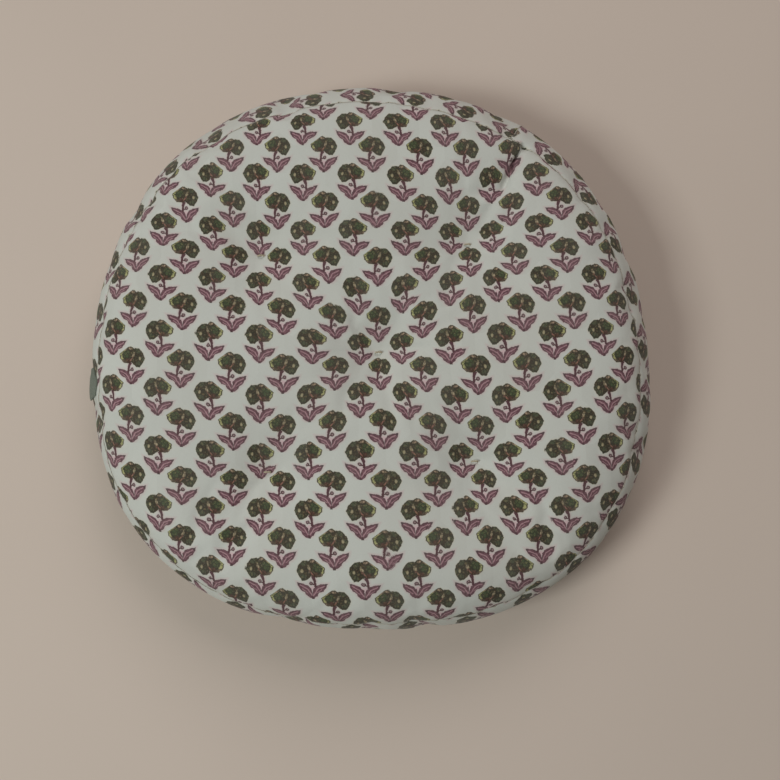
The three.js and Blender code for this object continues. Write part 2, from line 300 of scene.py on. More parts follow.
def beside_line(stops, offsets):
    """Rows of points that run along a line, at those offsets in millimetres."""
    stops = np.array(stops) * MM
    along = lengths_along(stops)
    at = np.arange(0.5 * TUCK_ROW_STEP, along[-1] - 2 * MM, TUCK_ROW_STEP)
    line = np.stack([np.interp(at, along, stops[:, axis]) for axis in range(2)], axis=1)
    way = headings(line)
    return [line + np.stack([way[:, 1], -way[:, 0]], axis=1) * offset * MM for offset in offsets]


class Cut:
    """A round panel cut flat: a net of points and its triangles."""

    def __init__(self, side):
        edge = on_circle(SEAM_ANGLES, side.reach(SEAM_ANGLES))
        beside = on_circle(SEAM_ANGLES, side.reach(SEAM_ANGLES) - NEAR_SEAM)
        holes = [(x + step, y) for x, y in TUFTS.values() for step in (-TWINE_SPREAD, 0, TWINE_SPREAD)]
        rows = np.arange(-NET_ROWS, NET_ROWS + 1)
        u, v = np.meshgrid(rows, rows)
        net = np.stack([(u + 0.5 * (v % 2)) * NET, v * NET * math.sqrt(0.75)], axis=-1).reshape(-1, 2)
        if side.upper:
            gap, _, _ = from_line(net, TUCK)
            net = np.vstack([net[gap > TUCK_CLEAR], *beside_line(TUCK, TUCK_ROWS)])
        away = np.hypot(*(net[:, None] - np.array(holes)).transpose(2, 0, 1)).min(axis=1)
        reach = side.reach(np.arctan2(net[:, 1], net[:, 0]))
        inside = np.hypot(net[:, 0], net[:, 1]) < reach - NEAR_SEAM - NET_CLEAR
        net = net[inside & (away > NET_CLEAR)]
        points = np.vstack([edge, beside, net, holes])
        ring = [(i, (i + 1) % SEAM_POINTS) for i in range(SEAM_POINTS)]
        made = delaunay_2d_cdt([Vector(p) for p in points], ring, [], 1, 1e-7)
        assert len(made[0]) == len(points)
        self.flat = points
        order = [sources[0] for sources in made[3]]
        self.triangles = np.array([[order[i] for i in face] for face in made[2]])
        turn = np.cross(
            points[self.triangles[:, 1]] - points[self.triangles[:, 0]],
            points[self.triangles[:, 2]] - points[self.triangles[:, 0]],
        )
        self.triangles[turn < 0] = self.triangles[turn < 0][:, ::-1]
        self.holes = np.arange(len(points) - len(holes), len(points))


class Band:
    """The strip round the side: rows of points from the top seam down to the bottom seam."""

    def __init__(self, inset):
        steps = np.linspace(0, 1, PROFILE_STEPS)
        angles = SEAM_ANGLES[:, None]
        upper = top_seam_share(angles, 1 - steps)
        lower = bottom_seam_share(angles, steps[1:])
        shares = np.hstack([upper, lower])
        heights = np.hstack([upper_height(upper, inset), lower_height(lower, inset)])
        radii = radius_at(angles, shares, inset)
        lengths = np.hypot(np.diff(radii, axis=1), np.diff(heights, axis=1)).cumsum(axis=1)
        lengths = np.hstack([np.zeros((SEAM_POINTS, 1)), lengths])
        self.width = lengths[:, -1]
        near = NEAR_SEAM / self.width.mean()
        self.rows = np.hstack([0, np.linspace(near, 1 - near, BAND_STEPS), 1])
        self.points = np.zeros((len(self.rows), SEAM_POINTS, 3))
        for i, angle in enumerate(SEAM_ANGLES):
            at = self.rows * self.width[i]
            radius = np.interp(at, lengths[i], radii[i])
            self.points[:, i, 0] = radius * math.cos(angle)
            self.points[:, i, 1] = radius * math.sin(angle)
            self.points[:, i, 2] = np.interp(at, lengths[i], heights[i])

    def quads(self, first):
        """Faces of the strip, given the number of the first point of each row, closed into a ring."""
        after = (np.arange(SEAM_POINTS) + 1) % SEAM_POINTS
        here = np.arange(SEAM_POINTS)
        return [
            np.stack([a[here], b[here], b[after], a[after]], axis=1) for a, b in zip(first, first[1:])
        ]


# ---- Meshes ----


def mesh_object(name, points, faces, uv=None):
    """A shown mesh piece. uv gives each corner of each face its place on the flat cloth, in metres."""
    mesh = bpy.data.meshes.new(name)
    mesh.from_pydata([tuple(p) for p in points], [], [tuple(int(i) for i in f) for f in faces])
    if uv is not None:
        mesh.uv_layers.new(name="cloth")
        mesh.uv_layers["cloth"].data.foreach_set("uv", np.asarray(uv, np.float32).ravel())
    mesh.polygons.foreach_set("use_smooth", [True] * len(mesh.polygons))
    mesh.update()
    made = bpy.data.objects.new(name, mesh)
    bpy.context.scene.collection.objects.link(made)
    return made


def normals_of(points, triangles):
    a, b, c = (points[triangles[:, i]] for i in range(3))
    face = np.cross(b - a, c - a)
    total = np.zeros_like(points)
    for i in range(3):
        np.add.at(total, triangles[:, i], face)
    return unit(total)


def between_rows(number):
    """Faces of an open strip, from the numbers of its points in rows and columns."""
    corners = (number[:-1, :-1], number[1:, :-1], number[1:, 1:], number[:-1, 1:])
    return np.stack(corners, axis=-1).reshape(-1, 4)


def split_quads(quads):
    return np.vstack([quads[:, [0, 1, 2]], quads[:, [0, 2, 3]]])


def uneven(points, size, seed):
    """Smooth noise from about -1 to 1 at each point, with lumps of that size."""
    shift = Vector((seed * 3.7, seed * 1.3, seed * 5.1))
    return np.array([noise.noise(Vector(p) / size + shift) for p in points])


# ---- The filled cover ----


def filled(points, faces, held):
    """The cover after the filling has swelled it: cloth under pressure, held at tufts and bottom seam."""
    cover = mesh_object("cover_being_filled", points, faces)
    group = cover.vertex_groups.new(name="held")
    group.add([int(i) for i in held], 1.0, "REPLACE")
    modifier = cover.modifiers.new("filling", "CLOTH")
    for setting, value in FILLING.items():
        setattr(modifier.settings, setting, value)
    modifier.settings.vertex_group_mass = "held"
    modifier.settings.effector_weights.gravity = 0
    modifier.collision_settings.use_collision = False
    for step in range(1, FILLING_STEPS + 1):
        bpy.context.scene.frame_set(step)
    posed = cover.evaluated_get(bpy.context.evaluated_depsgraph_get())
    swelled = np.array([v.co for v in posed.data.vertices])
    bpy.context.scene.frame_set(1)
    bpy.data.objects.remove(cover)
    moved = swelled - points
    far = np.linalg.norm(moved, axis=1, keepdims=True)
    return points + moved * MOST_SWELL * np.tanh(far / MOST_SWELL) / np.maximum(far, 1e-9)


def fold_depth(places, stops, depth, half_width):
    """Depth of one soft fold at each place, with a low lip on both sides, fading out at its ends."""
    away, share, _ = from_line(places, stops)
    d = away / (half_width * MM)
    fade = np.sin(np.pi * np.clip(share * 0.9 + 0.05, 0, 1)) ** 0.6
    lips = FOLD_LIP * np.exp(-((d - FOLD_LIP_PLACE) ** 2))
    return depth * MM * fade * (np.exp(-(d**2)) - lips)


def tuck_depth(places):
    """Depth of the tuck at each place, and how far the cloth there is lapped over it."""
    away, share, side = from_line(places, TUCK)
    grown = np.clip(share * 2.2, 0, 1) ** 0.8
    groove = TUCK_DEPTH * np.exp(-((away / TUCK_HALF_WIDTH) ** 2))
    right = side > 0
    lip = np.where(right, 2.2, 0.8) * MM * np.exp(-(((away - 4 * MM) / (3.2 * MM)) ** 2))
    lap = TUCK_LAP * right * np.exp(-(((away - 1.5 * MM) / (2.5 * MM)) ** 2))
    return grown * (groove - lip), grown * lap


def pucker_depth(places):
    """Small creases that run out from each tuft."""
    depth = np.zeros(len(places))
    for number, (x, y) in enumerate(TUFTS.values()):
        off_x, off_y = places[:, 0] - x, places[:, 1] - y
        away = np.hypot(off_x, off_y) / PUCKER_REACH
        wave = np.sin(PUCKERS * np.arctan2(off_y, off_x) + 1.7 * number)
        depth += PUCKER_DEPTH * wave * away * np.exp(0.5 - 0.5 * away**2)
    return depth


def row_numbers(count, rows):
    """Numbers of the points in each row of a band that follows a panel of that many points."""
    later = [count + row * SEAM_POINTS + np.arange(SEAM_POINTS) for row in range(rows - 1)]
    return [np.arange(SEAM_POINTS), *later]


def sewn_cover():
    """The top and the band, sewn together and filled."""
    cut = Cut(TOP)
    band = Band(START_INSET)
    top = TOP.place(cut.flat, START_INSET)
    count = len(top)
    top[:SEAM_POINTS] = band.points[0]
    points = np.vstack([top, band.points[1:].reshape(-1, 3)])
    first = row_numbers(count, len(band.rows))
    quads = np.vstack(band.quads(first))
    triangles = np.vstack([cut.triangles, split_quads(quads)])
    held = np.hstack([cut.holes, first[-1]])
    faces = [*cut.triangles.tolist(), *quads.tolist()]
    points = filled(points, faces, held)
    return cut, band, points, count, first, triangles


cut, band, points, count, first, triangles = sewn_cover()

normals = normals_of(points, triangles)
sunk = pucker_depth(cut.flat) + sum(fold_depth(cut.flat, *fold) for fold in FOLDS)
tucked, lapped_over = tuck_depth(cut.flat)
points[:count] -= normals[:count] * (sunk + tucked)[:, None]
points[:count] += TUCK_WAY * lapped_over[:, None]
lumps = sum(height * uneven(points, size, seed) for height, size, seed in COVER_LUMPS)
points += normals * lumps[:, None]
for ring in (first[0], first[-1]):
    points[ring] -= normals[ring] * SEAM_DIP

bottom_cut = Cut(BOTTOM)
bottom_points = BOTTOM.place(bottom_cut.flat, 0)
bottom_points[:SEAM_POINTS] = points[first[-1]]


def place_in_print(flat):
    """Where the top's flat cut falls in the print, which lies off the grain and gathers at tufts."""
    x, y = flat.T / MM
    across = x - FIRST_HEAD[0] + OFF_GRAIN * y + COLUMNS_SPREAD * x * y
    up = y - FIRST_HEAD[1] - ROWS_BOWED * x * x
    for name, (tuft_x, tuft_y) in TUFTS.items():
        off_x, off_y = x - tuft_x / MM, y - tuft_y / MM
        drawn = GATHERED[name] / GATHER_REACH * np.exp(-(off_x**2 + off_y**2) / GATHER_REACH**2)
        across = across + drawn * off_x
        up = up + drawn * off_y
    return np.stack([across, up], axis=1) * MM


def cloth_piece(name, shape, faces, flat):
    """A piece of the cover, rounded once more and given its thickness."""
    uv = np.array([flat[i] for face in faces for i in face])
    cloth = mesh_object(name, shape, faces, uv)
    finer = cloth.modifiers.new("finer", "SUBSURF")
    finer.levels = finer.render_levels = 1
    finer.uv_smooth = "NONE"
    thick = cloth.modifiers.new("thickness", "SOLIDIFY")
    thick.thickness = CLOTH_THICKNESS
    thick.offset = -1
    return cloth


def band_piece():
    """The strip with its two ends at the join, and the print running along it."""
    columns = np.arange(SEAM_POINTS + 1)
    strip = np.array([points[row][columns % SEAM_POINTS] for row in first])
    length = np.linalg.norm(np.diff(strip[0], axis=0), axis=1).sum()
    down = band.rows[:, None] * band.width[columns % SEAM_POINTS]
    flat = np.stack([BAND_HEAD_DROP * MM - down, -length * columns / SEAM_POINTS + 0 * down], axis=-1)
    number = np.arange(strip.shape[0] * strip.shape[1]).reshape(strip.shape[:2])
    faces = between_rows(number)
    return cloth_piece("band_cloth", strip.reshape(-1, 3), faces, flat.reshape(-1, 2)), length


top_cloth = cloth_piece("top_cloth", points[:count], cut.triangles, place_in_print(cut.flat))
band_cloth, band_length = band_piece()
bottom_cloth = cloth_piece(
    "bottom_cloth", bottom_points, bottom_cut.triangles[:, ::-1], bottom_cut.flat * (-1, 1)
)

# ---- Filling ----


def lapped(first_row, second_row):
    """Faces of a closed strip between two rows of points, wound from the first row to the second."""
    after = np.roll(np.arange(len(first_row)), -1)
    return np.stack([first_row, second_row, second_row[after], first_row[after]], axis=1)


def shell(name, outer, inner, faces, rims):
    """A closed layer between two sheets of the same net. rims lists the rows of points along its edges."""
    size = len(outer)
    used = np.unique(faces)
    renumber = np.full(2 * size, -1)
    renumber[np.hstack([used, used + size])] = np.arange(2 * len(used))
    both = np.vstack([outer, inner])[np.hstack([used, used + size])]
    walls = np.vstack([lapped(rim + size, rim) for rim in rims])
    all_faces = [*renumber[faces].tolist(), *renumber[faces + size][:, ::-1].tolist()]
    return mesh_object(name, both, [*all_faces, *renumber[walls].tolist()])


def under_cover(shape, outward, seed):
    """The wadding's outer face: just under the cover, a little lumpy."""
    depth = WADDING_UNDER_COVER + 0.5 * MM * (1 + uneven(shape, 0.012, seed))
    return shape - outward * depth[:, None]


def off_seam(triangles_of):
    return triangles_of[(triangles_of >= SEAM_POINTS).all(axis=1)]


beside_seam = np.arange(SEAM_POINTS, 2 * SEAM_POINTS)
normals = normals_of(points, triangles)
wadding_top = shell(
    "wadding_top_layer",
    under_cover(points[:count], normals[:count], 3),
    TOP.place(cut.flat, WADDING_INNER),
    off_seam(cut.triangles),
    [beside_seam],
)
inner_band = Band(WADDING_INNER)
band_rows = np.arange(len(first) * SEAM_POINTS).reshape(len(first), SEAM_POINTS)
band_shape = np.vstack([points[row] for row in first])
band_outward = np.vstack([normals[row] for row in first])
wadding_side = shell(
    "wadding_side_layer",
    under_cover(band_shape, band_outward, 4),
    inner_band.points.reshape(-1, 3),
    np.vstack(band.quads(list(band_rows[1:-1]))),
    [band_rows[1], band_rows[-2][::-1]],
)
bottom_outward = normals_of(bottom_points, bottom_cut.triangles[:, ::-1])
wadding_bottom = shell(
    "wadding_bottom_layer",
    under_cover(bottom_points, bottom_outward, 5),
    BOTTOM.place(bottom_cut.flat, WADDING_INNER),
    off_seam(bottom_cut.triangles)[:, ::-1],
    [beside_seam[::-1]],
)


def felted_core():
    """One closed pad with the cushion's own shape, smaller all round."""
    upper = TOP.place(cut.flat, CORE_INSET)
    side = Band(CORE_INSET)
    lower = BOTTOM.place(bottom_cut.flat, CORE_INSET)[SEAM_POINTS:]
    upper[:SEAM_POINTS] = side.points[0]
    body = np.vstack([upper, side.points[1:].reshape(-1, 3), lower])
    rows = row_numbers(count, len(side.rows))
    last = rows[-1]
    lower_numbers = np.hstack([last, last[-1] + 1 + np.arange(len(lower))])
    lower_faces = lower_numbers[bottom_cut.triangles][:, ::-1]
    quads = np.vstack(side.quads(rows))
    faces = np.vstack([cut.triangles, split_quads(quads), lower_faces])
    body += normals_of(body, faces) * (0.8 * MM * uneven(body, 0.02, 6))[:, None]
    return mesh_object("felted_core", body, faces)


core = felted_core()

# ---- Threads, twines and label ----


def joined(name, parts):
    """One piece from many (points, faces, uv) parts."""
    shape, faces, uv, done = [], [], [], 0
    for part_points, part_faces, part_uv in parts:
        shape.append(part_points)
        faces += [[i + done for i in face] for face in part_faces]
        uv += [part_uv[i] for face in part_faces for i in face]
        done += len(part_points)
    return mesh_object(name, np.vstack(shape), faces, uv)


def tube(line, radii, sides=8):
    """A round tube along a line of points, closed at both ends, with flat places (round it, along it)."""
    line = np.asarray(line, float)
    radii = np.broadcast_to(radii, len(line))
    heading = headings(line)
    side = np.cross(heading[0], (0.31, 0.22, 0.93))
    rings, uv = [], []
    turns = np.arange(sides) / sides
    angles = 2 * np.pi * turns[:, None]
    for centre, forward, radius, far in zip(line, heading, radii, lengths_along(line)):
        side = unit(side - forward * (side @ forward))
        circle = np.cos(angles) * side + np.sin(angles) * np.cross(forward, side)
        rings.append(centre + circle * radius)
        uv += [(turn, far) for turn in turns]
    faces = []
    for ring in range(len(line) - 1):
        a = ring * sides + np.arange(sides)
        b = ring * sides + (np.arange(sides) + 1) % sides
        faces += np.stack([a, b, b + sides, a + sides], axis=1).tolist()
    faces.append(list(range(sides))[::-1])
    faces.append([len(line) * sides - sides + i for i in range(sides)])
    return np.vstack(rings), faces, uv


def resampled(line, step):
    line = np.asarray(line, float)
    along = lengths_along(line)
    at = np.linspace(0, along[-1], max(2, round(along[-1] / step) + 1))
    return np.stack([np.interp(at, along, line[:, axis]) for axis in range(3)], axis=1)


def stitch_row(name, line, outward, pitch, length, lean=0.0):
    """A row of stitches lying along a seam. lean turns each one across the seam, in degrees."""
    middles = resampled(line, pitch)
    turn = math.radians(lean)
    places = np.array([-0.5, -0.42, -0.15, 0.15, 0.42, 0.5])[:, None] * length
    lift = np.array([-0.1, 0.7, 1, 1, 0.7, -0.1])[:, None] * THREAD_RADIUS
    radii = np.array([0.6, 1, 1, 1, 1, 0.6]) * THREAD_RADIUS
    parts = []
    for middle, forward in zip(middles, headings(middles)):
        out = outward(middle)
        way = forward * math.cos(turn) + np.cross(out, forward) * math.sin(turn)
        parts.append(tube(middle + places * way + lift * out, radii, 6))
    return joined(name, parts)


def out_from_seam(level):
    """Which way a seam faces: away from the middle, and up or down."""
    def outward(place):
        flat_way = unit(np.array([place[0], place[1], 0.0]))
        return unit(flat_way + (0, 0, level))
    return outward


top_ring = points[first[0]]
bottom_ring = points[first[-1]]
ring_angles = np.degrees(SEAM_ANGLES) % 360
closing = (ring_angles > math.degrees(CLOSING_START)) & (ring_angles < math.degrees(CLOSING_END))
closing_end = int(np.argmax(closing)) + closing.sum()
machine_sewn = np.roll(bottom_ring, -closing_end, axis=0)[: SEAM_POINTS - closing.sum()]
join_line = np.array([points[row][0] for row in first[1:-1]])
by_machine = (MACHINE_STITCH, MACHINE_STITCH_LENGTH)
by_hand = (HAND_STITCH, HAND_STITCH_LENGTH, HAND_STITCH_LEAN)
upwards, outwards, downwards = (out_from_seam(level) for level in (SEAM_FACES, 0, -SEAM_FACES))
closed_ring = np.vstack([top_ring, top_ring[:1]])
top_seam_thread = stitch_row("top_seam_stitches", closed_ring, upwards, *by_machine)
bottom_seam_thread = stitch_row("bottom_seam_stitches", machine_sewn, downwards, *by_machine)
closing_thread = stitch_row("closing_hand_stitches", bottom_ring[closing], downwards, *by_hand)
join_thread = stitch_row("band_join_stitches", join_line, outwards, *by_machine)


def smooth_line(stops, step):
    """A smooth curve through a list of points (Catmull-Rom), in even steps."""
    stops = np.asarray(stops, float)
    padded = np.vstack([2 * stops[0] - stops[1], stops, 2 * stops[-1] - stops[-2]])
    t = np.linspace(0, 1, 12, endpoint=False)[:, None]
    curve = []
    for a, b, c, d in zip(padded, padded[1:], padded[2:], padded[3:]):
        square, cube = 2 * a - 5 * b + 4 * c - d, 3 * b - a - 3 * c + d
        curve.append(0.5 * (2 * b + (c - a) * t + square * t**2 + cube * t**3))
    return resampled(np.vstack([*curve, stops[-1:]]), step)


def twine(name, x, y):
    """A two-ply twine: over the top, down through the filling, and knotted underneath with two cut ends."""
    top = CROWN_Z - TUFT_DEPTH + TWINE_RADIUS * 1.4
    knot = [
        (
            (math.sin(t) + 2 * math.sin(2 * t)) * 0.62 * MM,
            (math.cos(t) - 2 * math.cos(2 * t)) * 0.62 * MM,
            KNOT_Z - 0.8 * MM * math.sin(3 * t),
        )
        for t in np.linspace(0.35, 2 * math.pi - 0.35, 15)
    ]

    def leg(side):
        """Up through the filling, on the side -1 or 1, and half way over the stitch on top."""
        spread = side * TWINE_SPREAD
        heights = (12 * MM, 30 * MM, 55 * MM, top - 4 * MM)
        bend = [(spread * 0.9, 0, top - 0.9 * MM), (spread * 0.5, 0, top)]
        return [*((spread, 0, z) for z in heights), *bend]

    stops = [
        (-9 * MM, 5 * MM, 1.6 * MM), (-6 * MM, 3 * MM, 2.2 * MM), (-3 * MM, 1 * MM, KNOT_Z - 0.6 * MM),
        *knot, *leg(-1), *leg(1)[::-1],
        (2.6 * MM, -0.5 * MM, KNOT_Z + 1 * MM), (3.2 * MM, -2.2 * MM, KNOT_Z - 1.4 * MM),
        (6 * MM, -4 * MM, 2.4 * MM), (9.5 * MM, -4.6 * MM, 1.6 * MM),
    ]
    line = smooth_line(stops, TWINE_STEP) + (x, y, 0)
    heading = headings(line)
    side = unit(np.cross(heading, (0.2, 0.93, 0.3)))
    other = np.cross(heading, side)
    twist = (np.arange(len(line)) * TWINE_STEP / TWINE_TWIST * 2 * math.pi)[:, None]
    plies = []
    for start in (0, math.pi):
        off = (np.cos(twist + start) * side + np.sin(twist + start) * other) * TWINE_RADIUS * 0.46
        plies.append(tube(line + off, TWINE_RADIUS * 0.52, 8))
    return joined(name, plies)


twines = {name: twine(f"twine_{name}", x, y) for name, (x, y) in TUFTS.items()}
cover_surface = BVHTree.FromPolygons([Vector(p) for p in points], triangles.tolist())


def blank_label():
    """A blank tape folded in two, its ends sewn on the band and its fold hanging down."""
    half_angle = LABEL_WIDTH / 2 / MEAN_RADIUS
    across = np.linspace(-1, 1, LABEL_COLUMNS)
    down = np.hstack([np.linspace(0, 1, LABEL_ROWS), np.linspace(1, 0, LABEL_ROWS)])
    lift = np.hstack([np.linspace(0.9, 1.8, LABEL_ROWS), np.linspace(1.0, 0.3, LABEL_ROWS)]) * MM
    top = float(seam_level(TOP_SEAM_Z, LABEL_ANGLE))
    shape, flat = [], []
    for row, (share, off) in enumerate(zip(down, lift)):
        for step in across:
            angle = LABEL_ANGLE + step * half_angle * (1 - 0.02 * share)
            z = top - LABEL_BELOW_SEAM - share * LABEL_DROP + 0.5 * MM * math.sin(2.2 * step + 1)
            way = Vector((-math.cos(angle), -math.sin(angle), 0))
            start = Vector((-way.x * 0.4, -way.y * 0.4, z))
            hit = cover_surface.ray_cast(start, way)[0]
            curl = 0.5 * MM * share * step**2
            shape.append(hit - way * (off + curl))
            flat.append((step * LABEL_WIDTH / 2, -row * LABEL_DROP / (LABEL_ROWS - 1)))
    number = np.arange(len(shape)).reshape(len(down), LABEL_COLUMNS)
    faces = between_rows(number)
    uv = [flat[i] for face in faces for i in face]
    label = mesh_object("blank_label", shape, faces, uv)
    finer = label.modifiers.new("finer", "SUBSURF")
    finer.levels = finer.render_levels = 2
    thick = label.modifiers.new("thickness", "SOLIDIFY")
    thick.thickness = LABEL_THICKNESS
    thick.offset = 0
    return label


label = blank_label()


# ---- Finishes ----


def linear(red, green, blue):
    """A screen colour, 0 to 255, as a colour for a shader."""
    parts = [c / 255 for c in (red, green, blue)]
    return (*[c / 12.92 if c <= 0.04045 else ((c + 0.055) / 1.055) ** 2.4 for c in parts], 1)


class Value:
    """A number that varies over a surface. Reckoning with it adds Math nodes to its finish."""

    def __init__(self, finish, socket):
        self.finish = finish
        self.socket = socket

    def maths(self, operation, *terms):
        return self.finish.node("ShaderNodeMath", {"operation": operation}, dict(enumerate(terms)))

    def __add__(self, other):
        return self.maths("ADD", self, other)

    __radd__ = __add__

    def __mul__(self, other):
        return self.maths("MULTIPLY", self, other)

    __rmul__ = __mul__

    def __sub__(self, other):
        return self.maths("SUBTRACT", self, other)

    def __rsub__(self, other):
        return self.maths("SUBTRACT", other, self)

    def __truediv__(self, other):
        return self.maths("DIVIDE", self, other)

    def __lt__(self, other):
        return self.maths("LESS_THAN", self, other)

    def floor(self):
        return self.maths("FLOOR", self)

    def sine(self):
        return self.maths("SINE", self)

    def least(self, other):
        return self.maths("MINIMUM", self, other)

    def most(self, other):
        return self.maths("MAXIMUM", self, other)

    def rise(self, low, high):
        """0 below low and 1 above high, smoothly between."""
        limits = {"From Min": low, "From Max": high}
        return self.finish.node(
            "ShaderNodeMapRange", {"interpolation_type": "SMOOTHSTEP"}, {"Value": self, **limits}
        )


class Finish:
    """A procedural material on a Principled shader."""

    def __init__(self, name, sheen, gloss):
        self.material = bpy.data.materials.new(name)
        self.material.use_nodes = True
        self.tree = self.material.node_tree
        self.shader = self.tree.nodes["Principled BSDF"]
        self.shader.inputs["Sheen Weight"].default_value = sheen
        self.shader.inputs["Specular IOR Level"].default_value = gloss

    def node(self, kind, settings=None, inputs=None, output=0):
        """Adds a node: its settings first, then the values or links of its sockets."""
        made = self.tree.nodes.new(kind)
        for name, value in (settings or {}).items():
            setattr(made, name, value)
        for name, value in (inputs or {}).items():
            if isinstance(value, Value):
                self.tree.links.new(value.socket, made.inputs[name])
            else:
                made.inputs[name].default_value = value
        return Value(self, made.outputs[output])

    def feed(self, **surface):
        for name, value in surface.items():
            self.tree.links.new(value.socket, self.shader.inputs[name.replace("_", " ").title()])

    def flat_place(self):
        """Place on the flat cloth, in millimetres."""
        uv = self.node("ShaderNodeUVMap", {"uv_map": "cloth"})
        return self.vector("SCALE", uv, Scale=1 / MM)

    def own_place(self):
        """Place on the piece itself, in metres."""
        return self.node("ShaderNodeTexCoord", None, None, 3)

    def vector(self, operation, *terms, output=0, **named):
        inputs = {**dict(enumerate(terms)), **named}
        return self.node("ShaderNodeVectorMath", {"operation": operation}, inputs, output)

    def split(self, place):
        return [self.node("ShaderNodeSeparateXYZ", None, {0: place}, axis) for axis in range(3)]

    def join(self, x, y, z=0.0):
        return self.node("ShaderNodeCombineXYZ", None, {0: x, 1: y, 2: z})

    def speckle(self, place, scale, detail=2.0, roughness=0.5):
        """Smooth noise from 0 to 1."""
        inputs = {"Vector": place, "Scale": scale, "Detail": detail, "Roughness": roughness}
        return self.node("ShaderNodeTexNoise", None, inputs)

    def blend(self, share, under, over):
        """The colour over laid on the colour under, by that share."""
        return self.node("ShaderNodeMix", {"data_type": "RGBA"}, {0: share, 6: under, 7: over}, 2)

    def coated(self, colour, *coats):
        """That colour under coats of screen colours, each given as its share and its colour."""
        for share, coat in coats:
            colour = self.blend(share, colour, linear(*coat))
        return colour

    def bump(self, height, distance, strength=1.0):
        inputs = {"Height": height, "Distance": distance, "Strength": strength}
        return self.node("ShaderNodeBump", None, inputs)


